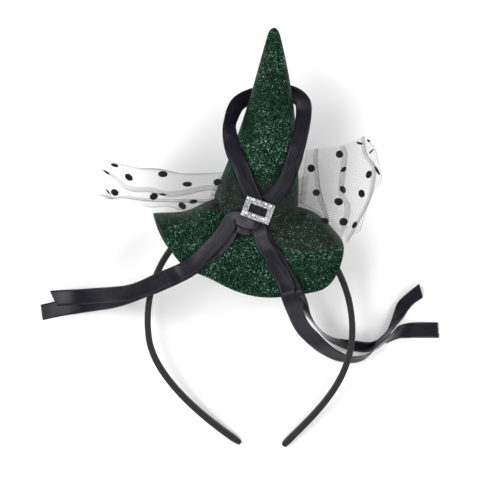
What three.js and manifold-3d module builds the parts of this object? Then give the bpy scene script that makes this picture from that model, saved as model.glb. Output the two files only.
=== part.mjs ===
// Miniature witch hat on a headband, lying on its back on a table.
// Millimetres and degrees. +Z points up from the table, +X to the wearer's left, +Y from the headband's
// open ends towards the tip of the hat.
import * as THREE from 'three';
import { mergeVertices } from 'three/addons/utils/BufferGeometryUtils.js';
import Module from 'manifold-3d';

const wasm = await Module();
wasm.setup();

// ---- Driving dimensions -------------------------------------------------------------------------

const GAP = 0.3;                    // between pieces that touch
const INCLINE = 15;                 // headband plane and hat axis above the table

// Headband: a springy core inside a wrapped fabric sleeve.
const CORE_WIDTH = 4.4;
const CORE_THICKNESS = 1.6;
const SLEEVE_WALL = 0.8;
const HOOP_HALF_WIDTH = 65.2;
const HOOP_CROWN_HEIGHT = 76;
const HOOP_LEAN = 7.5;              // the hoop leans to the left in its own plane
const HOOP_CENTRE = [-0.6, -4.1, 23.6];
const PIVOT_ANGLE = 38;             // from the crown's top, where each leg starts to flex
const FLEX_CLEARANCE = 0.9;         // between the crown and a leg, for the leg's turn
const TIP_LENGTH = 8;               // folded and glued end of the sleeve
const LEGS = {
  left: { side: -1, tip: [16.2, -76.9], shoulder: 31, turn: 48, run: 14, point: 0.5 },
  right: { side: 1, tip: [10.8, -82.1], shoulder: 42.2, turn: 51, run: 34, point: 0.85 },
};

// Brim: a felt lining under a glitter fabric, folded down at the front and the back.
const BRIM_LEFT_REACH = 67;         // along the ridge, from the cone's axis
const BRIM_RIGHT_REACH = 63;
const BRIM_HALF_DEPTH = 65;         // down the front and the back
const BRIM_SKEW = 5;                // the fold is not square across the brim
const FELT_THICKNESS = 1.2;
const GLITTER_THICKNESS = 0.8;
const FRONT_FOLD = 79;              // steepest slope of the front half
const FRONT_FOLD_REACH = 34;
const BACK_FOLD = 80;
const BACK_FOLD_REACH = 37;
const RIGHT_DROOP = 44;             // steepest slope of the ridge
const RIGHT_DROOP_REACH = 30;
const LEFT_DROOP = 37;
const LEFT_DROOP_REACH = 12;
const LEFT_LEVEL_FROM = 16;         // where the left end starts to level out again
const LEFT_LEVEL_REACH = 30;
const LEFT_END_SLOPE = 6;

// Cone.
const CONE_RADIUS = 25.4;
const CONE_HEIGHT = 116;
const CONE_STANDOFF = 1.5;          // glue line between the cone and the brim
const CONE_BLUNTNESS = 0.03;
const CONE_FULLNESS = 0.86;         // 1 is a straight-sided cone
const CONE_BOW = 3.3;               // the cone bends to the right on its way up
const STIFFENER_THICKNESS = 0.8;
const HAT_LEAN = -5.7;
const HAT_X = 2.9;

// Felt patch that holds the headband under the brim.
const PATCH_LENGTH = 34;
const PATCH_HALF_DEPTH = 14;
const PATCH_THICKNESS = 1.2;
const PATCH_STANDOFF = 1.2;         // glue line under the lining

// Satin ribbon.
const RIBBON_WIDTH = 10;
const RIBBON_THICKNESS = 0.5;

// Rhinestone buckle.
const BUCKLE_LENGTH = 18.6;
const BUCKLE_HEIGHT = 12.9;
const BUCKLE_RIM = 3.7;
const BUCKLE_THICKNESS = 1.2;
const BUCKLE_TURN = -20;            // in its own plane
const BUCKLE_TILT = 9;              // with the cone's wall
const STONE_PITCH = 1.75;
const STONE_HEIGHT = 0.9;

// ---- Worked out from the dimensions -------------------------------------------------------------

const radians = THREE.MathUtils.degToRad;
const BAND_THICKNESS = CORE_THICKNESS + 2 * (GAP + SLEEVE_WALL);
const BAND_WIDTH = CORE_WIDTH + 2 * (GAP + SLEEVE_WALL);
const BRIM_MIDDLE = 0.85 * CONE_RADIUS;   // flat along the ridge, under the cone
const MIDDLE_SHARE = 0.25;
const GLITTER_TOP = FELT_THICKNESS + GAP + GLITTER_THICKNESS;
const CONE_TOP = STIFFENER_THICKNESS + GAP + GLITTER_THICKNESS;
const vector = (x, y, z) => new THREE.Vector3(x, y, z);

// ---- Materials ----------------------------------------------------------------------------------

const finish = (color, roughness, metalness) => {
  return new THREE.MeshStandardMaterial({ color, roughness, metalness });
};
const glitter = finish(0x0c4a2a, 0.45, 0.5);
const felt = finish(0x1b1414, 0.95, 0);
const card = finish(0x2a2a2a, 0.9, 0);
const satin = finish(0x17151c, 0.35, 0);
const wrap = finish(0x241f24, 0.7, 0);
const plastic = finish(0x101010, 0.5, 0);
const net = finish(0xd8d8d8, 0.8, 0);
const silver = finish(0xc8c8c8, 0.25, 0.9);
const rhinestone = finish(0xe8ecf0, 0.1, 0.2);

// ---- Building closed bodies ---------------------------------------------------------------------

// Merges shared corners, drops collapsed facets and turns the facets outwards.
function closeUp(geometry) {
  geometry.deleteAttribute('normal');
  geometry.deleteAttribute('uv');
  const merged = mergeVertices(geometry, 1e-4);
  const corners = merged.index.array;
  const kept = [];
  for (let i = 0; i < corners.length; i += 3) {
    const [a, b, c] = [corners[i], corners[i + 1], corners[i + 2]];
    if (a !== b && b !== c && c !== a) kept.push(a, b, c);
  }
  merged.setIndex(kept);
  if (signedVolume(merged) < 0) merged.setIndex(kept.reverse());
  return merged;
}

function signedVolume(geometry) {
  const corners = geometry.index.array;
  const points = geometry.attributes.position;
  const [a, b, c] = [vector(), vector(), vector()];
  let volume = 0;
  for (let i = 0; i < corners.length; i += 3) {
    a.fromBufferAttribute(points, corners[i]);
    b.fromBufferAttribute(points, corners[i + 1]);
    c.fromBufferAttribute(points, corners[i + 2]);
    volume += a.dot(b.cross(c)) / 6;
  }
  return volume;
}

// A shell between two surfaces of (u, v), with the same facets on both, closed along its edges.
function shell(outer, inner, across, along, wraps) {
  const points = [];
  const corners = [];
  const columns = wraps ? across : across + 1;
  for (const surface of [outer, inner]) {
    for (let row = 0; row <= along; row += 1) {
      for (let column = 0; column < columns; column += 1) {
        points.push(...surface(column / across, row / along).toArray());
      }
    }
  }
  const on = (side, column, row) => (side * (along + 1) + row) * columns + column % columns;
  const quad = (a, b, c, d) => corners.push(a, b, c, a, c, d);
  for (let column = 0; column < across; column += 1) {
    const next = column + 1;
    for (let row = 0; row < along; row += 1) {
      quad(on(0, column, row), on(0, next, row), on(0, next, row + 1), on(0, column, row + 1));
      corners.push(on(1, column, row), on(1, next, row + 1), on(1, next, row));
      corners.push(on(1, column, row), on(1, column, row + 1), on(1, next, row + 1));
    }
    quad(on(1, column, 0), on(1, next, 0), on(0, next, 0), on(0, column, 0));
    quad(on(0, column, along), on(0, next, along), on(1, next, along), on(1, column, along));
  }
  for (let row = 0; row < along && !wraps; row += 1) {
    quad(on(0, 0, row), on(0, 0, row + 1), on(1, 0, row + 1), on(1, 0, row));
    quad(on(1, across, row), on(1, across, row + 1), on(0, across, row + 1), on(0, across, row));
  }
  const geometry = new THREE.BufferGeometry();
  geometry.setAttribute('position', new THREE.Float32BufferAttribute(points, 3));
  geometry.setIndex(corners);
  return closeUp(geometry);
}

// A solid of one outline carried along a path: its inner surface shrinks to the path itself.
function bar(surface, spine, around, along) {
  return shell(surface, spine, around, along, true);
}

function toManifold(geometry) {
  const points = new Float32Array(geometry.attributes.position.array);
  const corners = new Uint32Array(geometry.index.array);
  return new wasm.Manifold(new wasm.Mesh({ numProp: 3, vertProperties: points, triVerts: corners }));
}

function fromManifold(solid) {
  const mesh = solid.getMesh();
  const geometry = new THREE.BufferGeometry();
  geometry.setAttribute('position', new THREE.BufferAttribute(mesh.vertProperties, 3));
  geometry.setIndex(new THREE.BufferAttribute(mesh.triVerts, 1));
  return geometry;
}

function piece(name, geometry, material) {
  const mesh = new THREE.Mesh(geometry, material);
  mesh.name = name;
  return mesh;
}

// ---- Headband -----------------------------------------------------------------------------------

// The hoop's right half from the crown's top to the tip, in the hoop's own plane.
function hoopHalf(leg) {
  const turn = radians(leg.turn);
  const tip = new THREE.Vector2(leg.tip[0], leg.tip[1]);
  const run = new THREE.Vector2(Math.sin(turn), Math.cos(turn)).multiplyScalar(leg.run);
  const half = new THREE.CurvePath();
  half.add(new THREE.EllipseCurve(0, 0, HOOP_HALF_WIDTH, HOOP_CROWN_HEIGHT, Math.PI / 2, 0, true));
  half.add(new THREE.CubicBezierCurve(
    new THREE.Vector2(HOOP_HALF_WIDTH, 0),
    new THREE.Vector2(HOOP_HALF_WIDTH, -leg.shoulder),
    tip.clone().add(run),
    tip,
  ));
  half.arcLengthDivisions = 400;
  return half;
}

// Distance along the half from the crown's top to the leg's pivot.
function pivotDistance(half) {
  const angle = radians(PIVOT_ANGLE);
  const target = HOOP_HALF_WIDTH * Math.sin(angle);
  const length = half.getLength();
  let distance = 0;
  while (half.getPointAt(distance / length).x < target) distance += 0.05;
  return distance;
}

const halves = Object.fromEntries(Object.entries(LEGS).map(([name, leg]) => {
  const curve = hoopHalf(leg);
  return [name, { curve, side: leg.side, length: curve.getLength(), pivot: pivotDistance(curve), leg }];
}));

// The centreline and the outward direction at a signed distance from the crown's top.
function hoopFrame(distance, half) {
  const share = THREE.MathUtils.clamp(Math.abs(distance) / half.length, 0, 1);
  const place = half.curve.getPointAt(share);
  const along = half.curve.getTangentAt(share);
  const centre = vector(half.side * place.x, place.y, 0);
  const outward = vector(-half.side * along.y, along.x, 0);
  return { centre, outward };
}

// A rounded band section: half its thickness along the outward direction, half its width along Z.
function bandPoint(frame, angle, thickness, width) {
  const soft = (value) => Math.sign(value) * Math.abs(value) ** 0.6;
  const point = frame.centre.clone();
  point.addScaledVector(frame.outward, soft(Math.cos(angle)) * thickness / 2);
  point.z += soft(Math.sin(angle)) * width / 2;
  return point;
}

// Legs run on one half; the crown runs from the left pivot to the right one.
function hoopStretch(name) {
  if (name !== 'crown') {
    const half = halves[name];
    const start = half.pivot + FLEX_CLEARANCE / 2;
    const end = half.length - TIP_LENGTH - GAP;
    return (v) => hoopFrame(THREE.MathUtils.lerp(start, end, v), half);
  }
  const start = -halves.left.pivot + FLEX_CLEARANCE / 2;
  const end = halves.right.pivot - FLEX_CLEARANCE / 2;
  return (v) => {
    const distance = THREE.MathUtils.lerp(start, end, v);
    return hoopFrame(distance, distance < 0 ? halves.left : halves.right);
  };
}

function headbandCore(name, steps) {
  const stretch = hoopStretch(name);
  const surface = (u, v) => bandPoint(stretch(v), 2 * Math.PI * u, CORE_THICKNESS, CORE_WIDTH);
  return piece(`headband_core_${name}`, bar(surface, (u, v) => stretch(v).centre, 8, steps), plastic);
}

function headbandSleeve(name, steps) {
  const stretch = hoopStretch(name);
  const bore = 2 * GAP;
  const outer = (u, v) => bandPoint(stretch(v), 2 * Math.PI * u, BAND_THICKNESS, BAND_WIDTH);
  const inner = (u, v) => bandPoint(stretch(v), 2 * Math.PI * u, CORE_THICKNESS + bore, CORE_WIDTH + bore);
  return piece(`headband_sleeve_${name}`, shell(outer, inner, 8, steps, true), wrap);
}

// The last few millimetres of a leg, where the sleeve is folded over and glued; narrower at its end.
function headbandTip(name) {
  const half = halves[name];
  const size = (v) => 1 - (1 - half.leg.point) * v ** 2;
  const place = (v) => hoopFrame(half.length - TIP_LENGTH * (1 - v), half);
  const surface = (u, v) => {
    return bandPoint(place(v), 2 * Math.PI * u, BAND_THICKNESS * size(v), BAND_WIDTH * size(v));
  };
  return piece(`headband_tip_${name}`, bar(surface, (u, v) => place(v).centre, 8, 4), wrap);
}

function headband() {
  const hoop = new THREE.Group();
  const steps = { crown: 9, left: 20, right: 20 };
  for (const name of Object.keys(steps)) {
    hoop.add(headbandCore(name, steps[name]));
    hoop.add(headbandSleeve(name, steps[name]));
  }
  hoop.add(headbandTip('left'));
  hoop.add(headbandTip('right'));
  hoop.rotation.set(radians(INCLINE), 0, radians(HOOP_LEAN), 'XYZ');
  hoop.position.set(...HOOP_CENTRE);
  hoop.updateMatrix();
  return hoop;
}

// ---- Hat frame ----------------------------------------------------------------------------------
// In the hat's frame +Z is the cone's axis, +X runs along the brim's ridge and -Y faces the front.

const hoop = headband();

// Where the hat's seat touches the crown: the band's outer face at the hat's place along the ridge.
function seatOnCrown() {
  const seat = vector();
  let distance = 0;
  do {
    distance += 0.02;
    const { centre, outward } = hoopFrame(distance, halves.right);
    seat.copy(centre).addScaledVector(outward, BAND_THICKNESS / 2 + GAP);
    seat.applyMatrix4(hoop.matrix);
  } while (seat.x < HAT_X);
  return seat;
}

const hat = new THREE.Group();
hat.position.copy(seatOnCrown());
hat.rotation.set(radians(INCLINE - 90), -radians(HAT_LEAN), 0, 'XYZ');
hat.updateMatrix();

// A slope that grows smoothly to a limit.
const growing = (steepest, reach) => (at) => steepest * THREE.MathUtils.smoothstep(at, 0, reach);

// The front, the back and the two sides of the brim, each by its slope in degrees along the way out.
const SLOPES = {
  front: growing(FRONT_FOLD, FRONT_FOLD_REACH),
  back: growing(BACK_FOLD, BACK_FOLD_REACH),
  right: growing(RIGHT_DROOP, RIGHT_DROOP_REACH),
  left: (at) => {
    const levelling = THREE.MathUtils.smoothstep(at, LEFT_LEVEL_FROM, LEFT_LEVEL_REACH);
    return THREE.MathUtils.lerp(growing(LEFT_DROOP, LEFT_DROOP_REACH)(at), LEFT_END_SLOPE, levelling);
  },
};

// How far a strip that starts level has gone out and down when it follows a slope.
function fold(length, slope) {
  const steps = 24;
  const step = length / steps;
  let out = 0;
  let down = 0;
  for (let i = 0; i < steps; i += 1) {
    const angle = radians(slope((i + 0.5) * step));
    out += Math.cos(angle) * step;
    down += Math.sin(angle) * step;
  }
  return { out, down };
}

// The underside of the brim, from flat places: x along the ridge, s towards the front.
function brimSeat(x, s) {
  const over = fold(Math.abs(s), s >= 0 ? SLOPES.front : SLOPES.back);
  const flat = Math.min(Math.abs(x), BRIM_MIDDLE);
  const side = fold(Math.abs(x) - flat, x >= 0 ? SLOPES.right : SLOPES.left);
  return vector(Math.sign(x) * (flat + side.out), (s >= 0 ? -1 : 1) * over.out, -over.down - side.down);
}

function brimAt(x, s, lift) {
  const step = 0.05;
  const alongX = brimSeat(x + step, s).sub(brimSeat(x - step, s));
  const alongS = brimSeat(x, s + step).sub(brimSeat(x, s - step));
  const normal = alongS.cross(alongX).normalize();
  return brimSeat(x, s).addScaledVector(normal, lift);
}

// How far the flat brim reaches from the cone's axis, all the way round.
function brimReach(angle) {
  const side = Math.cos(angle) >= 0 ? BRIM_RIGHT_REACH : BRIM_LEFT_REACH;
  const oval = Math.hypot(Math.cos(angle) / side, Math.sin(angle) / BRIM_HALF_DEPTH);
  return 1 / oval + BRIM_SKEW * Math.sin(2 * angle);
}

// A full disc of the brim. Both layers have their rings at the same radii, so that their facets lie
// parallel.
function brimLayer(name, low, high, material) {
  const at = (u, v, lift) => {
    const angle = 2 * Math.PI * u;
    const hidden = BRIM_MIDDLE * Math.min(v / MIDDLE_SHARE, 1);
    const shown = (brimReach(angle) - BRIM_MIDDLE) * Math.max((v - MIDDLE_SHARE) / (1 - MIDDLE_SHARE), 0);
    const radius = hidden + shown;
    return brimAt(radius * Math.cos(angle), radius * Math.sin(angle), lift);
  };
  return piece(name, shell((u, v) => at(u, v, high), (u, v) => at(u, v, low), 42, 8, true), material);
}

// The cone stands on the folded brim, so its lower edge follows the fold.
function coneSeat(angle, share) {
  const lift = GLITTER_TOP + CONE_STANDOFF;
  const foot = brimAt(CONE_RADIUS * Math.cos(angle), CONE_RADIUS * Math.sin(angle), lift);
  const blunt = CONE_BLUNTNESS * (1 - share) * THREE.MathUtils.smoothstep(share, 0, 0.012);
  const girth = share ** CONE_FULLNESS + blunt;
  const bow = CONE_BOW * Math.sin(Math.PI * share);
  return vector(foot.x * girth + bow, foot.y * girth, CONE_HEIGHT * (1 - share) + foot.z * share ** 3);
}

function coneAt(angle, share, lift) {
  const near = Math.max(share, 0.02);
  const round = coneSeat(angle + 0.01, near).sub(coneSeat(angle - 0.01, near));
  const down = coneSeat(angle, Math.min(near + 0.005, 1)).sub(coneSeat(angle, near - 0.005));
  const normal = share === 0 ? vector(0, 0, 1) : round.cross(down).normalize();
  return coneSeat(angle, share).addScaledVector(normal, lift);
}

function coneLayer(name, low, high, material) {
  const at = (u, v, lift) => coneAt(2 * Math.PI * u, v ** 2, lift);
  return piece(name, shell((u, v) => at(u, v, high), (u, v) => at(u, v, low), 24, 9, true), material);
}

// The lowest level that the band reaches in the hat's frame, within a distance of the cone's axis.
function bandDepth(reach) {
  const toHat = hat.matrix.clone().invert().multiply(hoop.matrix);
  const inner = vector();
  let lowest = 0;
  for (let distance = -2 * reach; distance <= 2 * reach; distance += 1) {
    const { centre, outward } = hoopFrame(distance, distance < 0 ? halves.left : halves.right);
    inner.copy(centre).addScaledVector(outward, -BAND_THICKNESS / 2).applyMatrix4(toHat);
    if (Math.abs(inner.x) < reach) lowest = Math.min(lowest, inner.z);
  }
  return lowest;
}

// A strip of felt glued to the lining on both sides of the headband, flat where it passes under it.
function feltPatch() {
  const halfFlat = BAND_WIDTH / 2 + 1.5;
  const under = bandDepth(PATCH_LENGTH / 2 + BAND_THICKNESS) - 2 * GAP;
  const wing = brimSeat(0, PATCH_HALF_DEPTH);
  const back = brimSeat(0, -PATCH_HALF_DEPTH);
  const outline = new THREE.Shape([
    new THREE.Vector2(wing.y, wing.z - PATCH_STANDOFF - PATCH_THICKNESS),
    new THREE.Vector2(-halfFlat, under - PATCH_THICKNESS),
    new THREE.Vector2(halfFlat, under - PATCH_THICKNESS),
    new THREE.Vector2(back.y, back.z - PATCH_STANDOFF - PATCH_THICKNESS),
    new THREE.Vector2(back.y, back.z - PATCH_STANDOFF),
    new THREE.Vector2(halfFlat, under),
    new THREE.Vector2(-halfFlat, under),
    new THREE.Vector2(wing.y, wing.z - PATCH_STANDOFF),
  ]);
  const slab = new THREE.ExtrudeGeometry(outline, { depth: PATCH_LENGTH, bevelEnabled: false });
  slab.translate(0, 0, -PATCH_LENGTH / 2);
  slab.applyMatrix4(new THREE.Matrix4().makeBasis(vector(0, 1, 0), vector(0, 0, 1), vector(1, 0, 0)));
  return piece('felt_patch', closeUp(slab), felt);
}

function hatBody() {
  hat.add(feltPatch());
  hat.add(brimLayer('brim_felt_lining', 0, FELT_THICKNESS, felt));
  hat.add(brimLayer('brim_glitter_fabric', FELT_THICKNESS + GAP, GLITTER_TOP, glitter));
  hat.add(coneLayer('cone_stiffener', 0, STIFFENER_THICKNESS, card));
  hat.add(coneLayer('cone_glitter_fabric', STIFFENER_THICKNESS + GAP, CONE_TOP, glitter));
}

hatBody();

// ---- Places on the hat, on the table's axes -----------------------------------------------------

const onBrim = (x, s, lift) => brimAt(x, s, GLITTER_TOP + lift).applyMatrix4(hat.matrix);
const onCone = (angle, share, lift) => {
  return coneAt(radians(angle), share, CONE_TOP + lift).applyMatrix4(hat.matrix);
};

// ---- Satin ribbon -------------------------------------------------------------------------------

// A flat ribbon through its places, each with its roll: 0 faces up from the table, 90 stands on edge.
function ribbon(name, places, steps) {
  const middle = new THREE.CatmullRomCurve3(places.map(([place]) => place));
  const rolls = places.map(([, roll]) => roll);
  const rollAt = (v) => {
    const at = v * (rolls.length - 1);
    const before = Math.min(Math.floor(at), rolls.length - 2);
    return radians(THREE.MathUtils.lerp(rolls[before], rolls[before + 1], at - before));
  };
  const at = (u, v, lift) => {
    const along = middle.getTangent(v);
    const level = vector(0, 0, 1).cross(along).normalize();
    const raised = along.clone().cross(level);
    const roll = rollAt(v);
    const across = level.clone().multiplyScalar(Math.cos(roll)).addScaledVector(raised, Math.sin(roll));
    const face = along.clone().cross(across);
    return middle.getPoint(v).addScaledVector(across, (u - 0.5) * RIBBON_WIDTH).addScaledVector(face, lift);
  };
  const half = RIBBON_THICKNESS / 2;
  return piece(name, shell((u, v) => at(u, v, half), (u, v) => at(u, v, -half), 1, steps, false), satin);
}

// One loop that leaves the knot to the left, goes round behind the cone and comes back from the right.
function ribbonLoop() {
  return ribbon('ribbon_loop', [
    [onCone(93, 0.882, 4.6), 0],
    [onCone(103, 0.835, 4), 0],
    [onCone(114, 0.79, 4.2), 0],
    [onCone(126, 0.738, 4.6), 0],
    [onCone(142, 0.686, 5.2), 0],
    [onCone(153, 0.649, 5.8), 10],
    [onCone(164, 0.606, 6.6), 25],
    [onCone(176, 0.564, 7.2), 40],
    [onCone(186, 0.522, 7.4), 30],
    [onCone(206, 0.462, 7.4), 15],
    [onCone(235, 0.42, 6), 0],
    [onCone(270, 0.39, 4.6), 0],
    [onCone(308, 0.385, 5.4), 0],
    [onCone(345, 0.41, 6), 0],
    [onCone(12, 0.455, 6), 10],
    [onCone(25, 0.51, 6), 15],
    [onCone(34, 0.56, 6), 10],
    [onCone(40, 0.61, 5.8), 0],
    [onCone(44, 0.665, 5.2), 0],
    [onCone(49, 0.712, 5), 0],
    [onCone(54, 0.762, 4.6), 0],
    [onCone(65, 0.812, 4.4), 0],
    [onCone(80, 0.86, 4.6), 0],
  ], 40);
}

// The left pair lies over the brim, crosses over the headband and comes down to the table.
function leftTails() {
  const lower = [
    [onCone(91, 0.922, 4), 0],
    [onCone(93, 0.968, 4.2), 0],
    [onCone(102, 0.985, 4), 0],
    [onCone(116, 0.995, 3.6), 0],
    [onBrim(-19.5, 34.5, 1.6), 0],
    [onBrim(-29.4, 41.2, 1.3), 0],
    [onBrim(-38, 44.4, 1.8), 0],
    [vector(-46, 28.4, 63.8), 0],
    [vector(-54, 24.7, 57), 0],
    [vector(-62, 21.3, 49), 0],
    [vector(-70, 18.4, 41.5), 0],
    [vector(-78, 15.3, 34.5), 0],
    [vector(-88, 12.3, 25), 0],
    [vector(-98, 10.6, 15), 0],
    [vector(-110, 8.8, 5.6), 0],
    [vector(-122, 6.9, 1.6), 0],
    [vector(-134.7, 4.2, 0.8), 0],
  ];
  const upper = [
    [onCone(92, 0.912, 7.4), 0],
    [onCone(94, 0.945, 8), 0],
    [onCone(103, 0.955, 7), 0],
    [onCone(119, 0.965, 6), 0],
    [onBrim(-20.2, 29, 5), 0],
    [onBrim(-29.5, 39.1, 3.5), 0],
    [onBrim(-37.8, 43, 4.1), 0],
    [vector(-46, 30, 66), 0],
    [vector(-54, 26.8, 59.4), 0],
    [vector(-62, 23.2, 51.8), 0],
    [vector(-70, 19.6, 44.3), 0],
    [vector(-78, 17.2, 37.3), 0],
    [vector(-88, 16, 28), 0],
    [vector(-98, 15.2, 18), 0],
    [vector(-110, 14.3, 8.2), 0],
    [vector(-119, 13.8, 4.2), 0],
    [vector(-127.1, 13.3, 3), 0],
  ];
  return [ribbon('ribbon_tail_left_lower', lower, 30), ribbon('ribbon_tail_left_upper', upper, 30)];
}

// The right pair drops off the brim inside the hoop and runs out over the table under the right leg.
function rightTails() {
  const front = [
    [onCone(89, 0.93, 5.8), 0],
    [onCone(84, 0.985, 5.8), 0],
    [onBrim(6.9, 31.9, 4.9), 0],
    [onBrim(12, 37.8, 3.6), 0],
    [onBrim(14.8, 43.9, 3.2), 0],
    [onBrim(19.9, 49.8, 3.8), 0],
    [onBrim(22.6, 54.5, 4.6), 0],
    [onBrim(25, 61, 5.4), 0],
    [vector(28, 5.1, 53.5), 8],
    [vector(32.9, -4.8, 40), 12],
    [vector(40.3, -12.6, 27), 20],
    [vector(47, -18.6, 16.5), 35],
    [vector(54.5, -23.1, 8.8), 50],
    [vector(61.2, -25.3, 6.2), 60],
    [vector(66.2, -25.9, 5.6), 64],
    [vector(71.8, -24.6, 5.6), 72],
    [vector(76.8, -21.4, 7.2), 84],
    [vector(81, -17.8, 12), 84],
    [vector(86, -13.9, 15.4), 76],
    [vector(90.6, -10.6, 12), 60],
    [vector(95.6, -8, 6.5), 36],
    [vector(101.4, -7.2, 2.8), 14],
    [vector(110.8, -7.1, 1), 0],
    [vector(120.7, -7.2, 0.8), 0],
  ];
  const back = [
    [onCone(85, 0.955, 2.3), 0],
    [onCone(82, 0.985, 2.6), 0],
    [onBrim(8.9, 31.8, 2.6), 0],
    [onBrim(13.9, 37.7, 1.4), 0],
    [onBrim(18.1, 43.8, 1.3), 0],
    [onBrim(23.6, 51.7, 1.3), 0],
    [onBrim(29.6, 60, 2.6), 6],
    [vector(31.8, 10.2, 51.5), 40],
    [vector(35.4, 3.6, 46), 70],
    [vector(39.3, -1.3, 37), 88],
    [vector(44.1, -6.3, 27), 84],
    [vector(49.2, -10.4, 18), 74],
    [vector(54.1, -13.3, 10.5), 62],
    [vector(60.5, -15.7, 6.5), 52],
    [vector(69, -17.5, 4.6), 46],
    [vector(75.4, -17.8, 4.7), 50],
    [vector(81, -16.1, 4.9), 60],
    [vector(85.6, -12, 5), 66],
    [vector(88.8, -7.6, 5.2), 72],
    [vector(91.6, -2.7, 5), 64],
    [vector(95.2, 3.7, 4), 40],
    [vector(98, 8.7, 3.6), 32],
    [vector(103, 13.6, 3.6), 36],
    [vector(109.3, 18.3, 3), 28],
  ];
  return [ribbon('ribbon_tail_right_front', front, 40), ribbon('ribbon_tail_right_back', back, 42)];
}

// The short wrap that holds loop and tails together, under the buckle.
function ribbonKnot() {
  return ribbon('ribbon_knot', [
    [onCone(88, 0.856, 8.6), 0],
    [onCone(90, 0.88, 10), 0],
    [onCone(91, 0.907, 10), 0],
    [onCone(93, 0.938, 9.6), 0],
  ], 6);
}

// ---- Tulle --------------------------------------------------------------------------------------

// A puffed wing of gathered net between its lower and upper edges, given from where it leaves the cone.
function wing(name, root, lower, upper, fullness) {
  const edge = (offsets) => new THREE.CatmullRomCurve3(offsets.map((offset) => vector(...offset).add(root)));
  const [bottom, top] = [edge(lower), edge(upper)];
  const at = (u, v, side) => {
    const middle = bottom.getPoint(v).lerp(top.getPoint(v), u);
    middle.z += side * (0.5 + fullness / 2 * Math.sin(Math.PI * u));
    return middle;
  };
  return piece(name, shell((u, v) => at(u, v, 1), (u, v) => at(u, v, -1), 6, 12, false), net);
}

function tulleWings() {
  const left = wing(
    'tulle_left_wing',
    onCone(150, 0.86, 3),
    [
      [-3, -9, 2], [-19, -14, 2], [-31, -9.5, 0], [-42, -12.5, -3],
      [-59, -7, -6], [-71.5, -7, -9], [-75.5, -2.5, -10],
    ],
    [
      [-2, 8.5, 3], [-22, 9, 2], [-32, 12.5, 0], [-47, 12, -3],
      [-58.5, 14.5, -5], [-73.5, 19, -8], [-78.5, 20.5, -9],
    ],
    8,
  );
  const right = wing(
    'tulle_right_wing',
    onCone(10, 0.8, 3),
    [
      [3, -10, 1], [13, -17, 1], [24, -22.5, 0], [30.5, -29, -1],
      [32.5, -36, -2], [38, -29.5, -2], [43, -14, -2],
    ],
    [
      [3, 12, 0], [9, 21.5, 0], [26.5, 24.5, 1], [37, 27.5, 1],
      [47, 23, 0], [50, 14, -1], [51, 6, -2],
    ],
    8,
  );
  return [left, right];
}

// Net drawn across the front of the cone's foot between the two wings.
function tulleBand() {
  const at = (u, v, lift) => {
    const angle = THREE.MathUtils.lerp(40, 142, u);
    return onCone(angle, THREE.MathUtils.lerp(0.84, 0.955, v), lift);
  };
  return piece('tulle_band', shell((u, v) => at(u, v, 1.8), (u, v) => at(u, v, 1), 12, 3, false), net);
}

// The lower fold of the right wing, lying on the brim.
function tulleSwag() {
  const at = (u, v, lift) => {
    const angle = radians(THREE.MathUtils.lerp(14, 54, u));
    const radius = THREE.MathUtils.lerp(CONE_RADIUS + 7, CONE_RADIUS + 30, v);
    return onBrim(radius * Math.cos(angle), radius * Math.sin(angle), lift);
  };
  return piece('tulle_swag', shell((u, v) => at(u, v, 1.7), (u, v) => at(u, v, 1), 6, 4, false), net);
}

// ---- Buckle -------------------------------------------------------------------------------------

function frameOutline(inset) {
  const rectangle = (length, height, path) => {
    path.moveTo(-length / 2, -height / 2);
    path.lineTo(length / 2, -height / 2);
    path.lineTo(length / 2, height / 2);
    path.lineTo(-length / 2, height / 2);
    path.closePath();
    return path;
  };
  const outline = rectangle(BUCKLE_LENGTH - 2 * inset, BUCKLE_HEIGHT - 2 * inset, new THREE.Shape());
  const opening = 2 * (BUCKLE_RIM - inset);
  outline.holes.push(rectangle(BUCKLE_LENGTH - opening, BUCKLE_HEIGHT - opening, new THREE.Path()));
  return outline;
}

function framePlate(inset, thickness) {
  const geometry = new THREE.ExtrudeGeometry(frameOutline(inset), { depth: thickness, bevelEnabled: false });
  return closeUp(geometry);
}

// Stone places along one rectangular row.
function stoneRow(inset) {
  const places = [];
  const [length, height] = [BUCKLE_LENGTH - 2 * inset, BUCKLE_HEIGHT - 2 * inset];
  const [along, up] = [Math.round(length / STONE_PITCH), Math.round(height / STONE_PITCH)];
  for (let i = 0; i < along; i += 1) {
    places.push([(i / along - 0.5) * length, -height / 2], [(0.5 - i / along) * length, height / 2]);
  }
  for (let i = 0; i < up; i += 1) {
    places.push([length / 2, (i / up - 0.5) * height], [-length / 2, (0.5 - i / up) * height]);
  }
  return places;
}

// Two rows of stones joined to the thin foil plate that they are set in.
function buckleStones() {
  const plate = 0.4;
  let solid = toManifold(framePlate(0.2, plate));
  const rows = [...stoneRow(STONE_PITCH / 2 + 0.1), ...stoneRow(BUCKLE_RIM - STONE_PITCH / 2 - 0.1)];
  for (const [x, y] of rows) {
    const stone = new THREE.CylinderGeometry(0.3, 0.74, STONE_HEIGHT, 5);
    stone.rotateX(Math.PI / 2);
    stone.translate(x, y, plate - 0.1 + STONE_HEIGHT / 2);
    solid = solid.add(toManifold(closeUp(stone)));
  }
  return piece('buckle_stones', closeUp(fromManifold(solid)), rhinestone);
}

function buckle() {
  const group = new THREE.Group();
  const frame = piece('buckle_frame', framePlate(0, BUCKLE_THICKNESS), silver);
  const stones = buckleStones();
  stones.position.z = BUCKLE_THICKNESS + GAP;
  group.add(frame, stones);
  group.position.copy(onCone(91, 0.892, 11));
  group.rotation.set(radians(BUCKLE_TILT), 0, radians(BUCKLE_TURN), 'XYZ');
  return group;
}

// ---- The whole object ---------------------------------------------------------------------------

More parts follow.
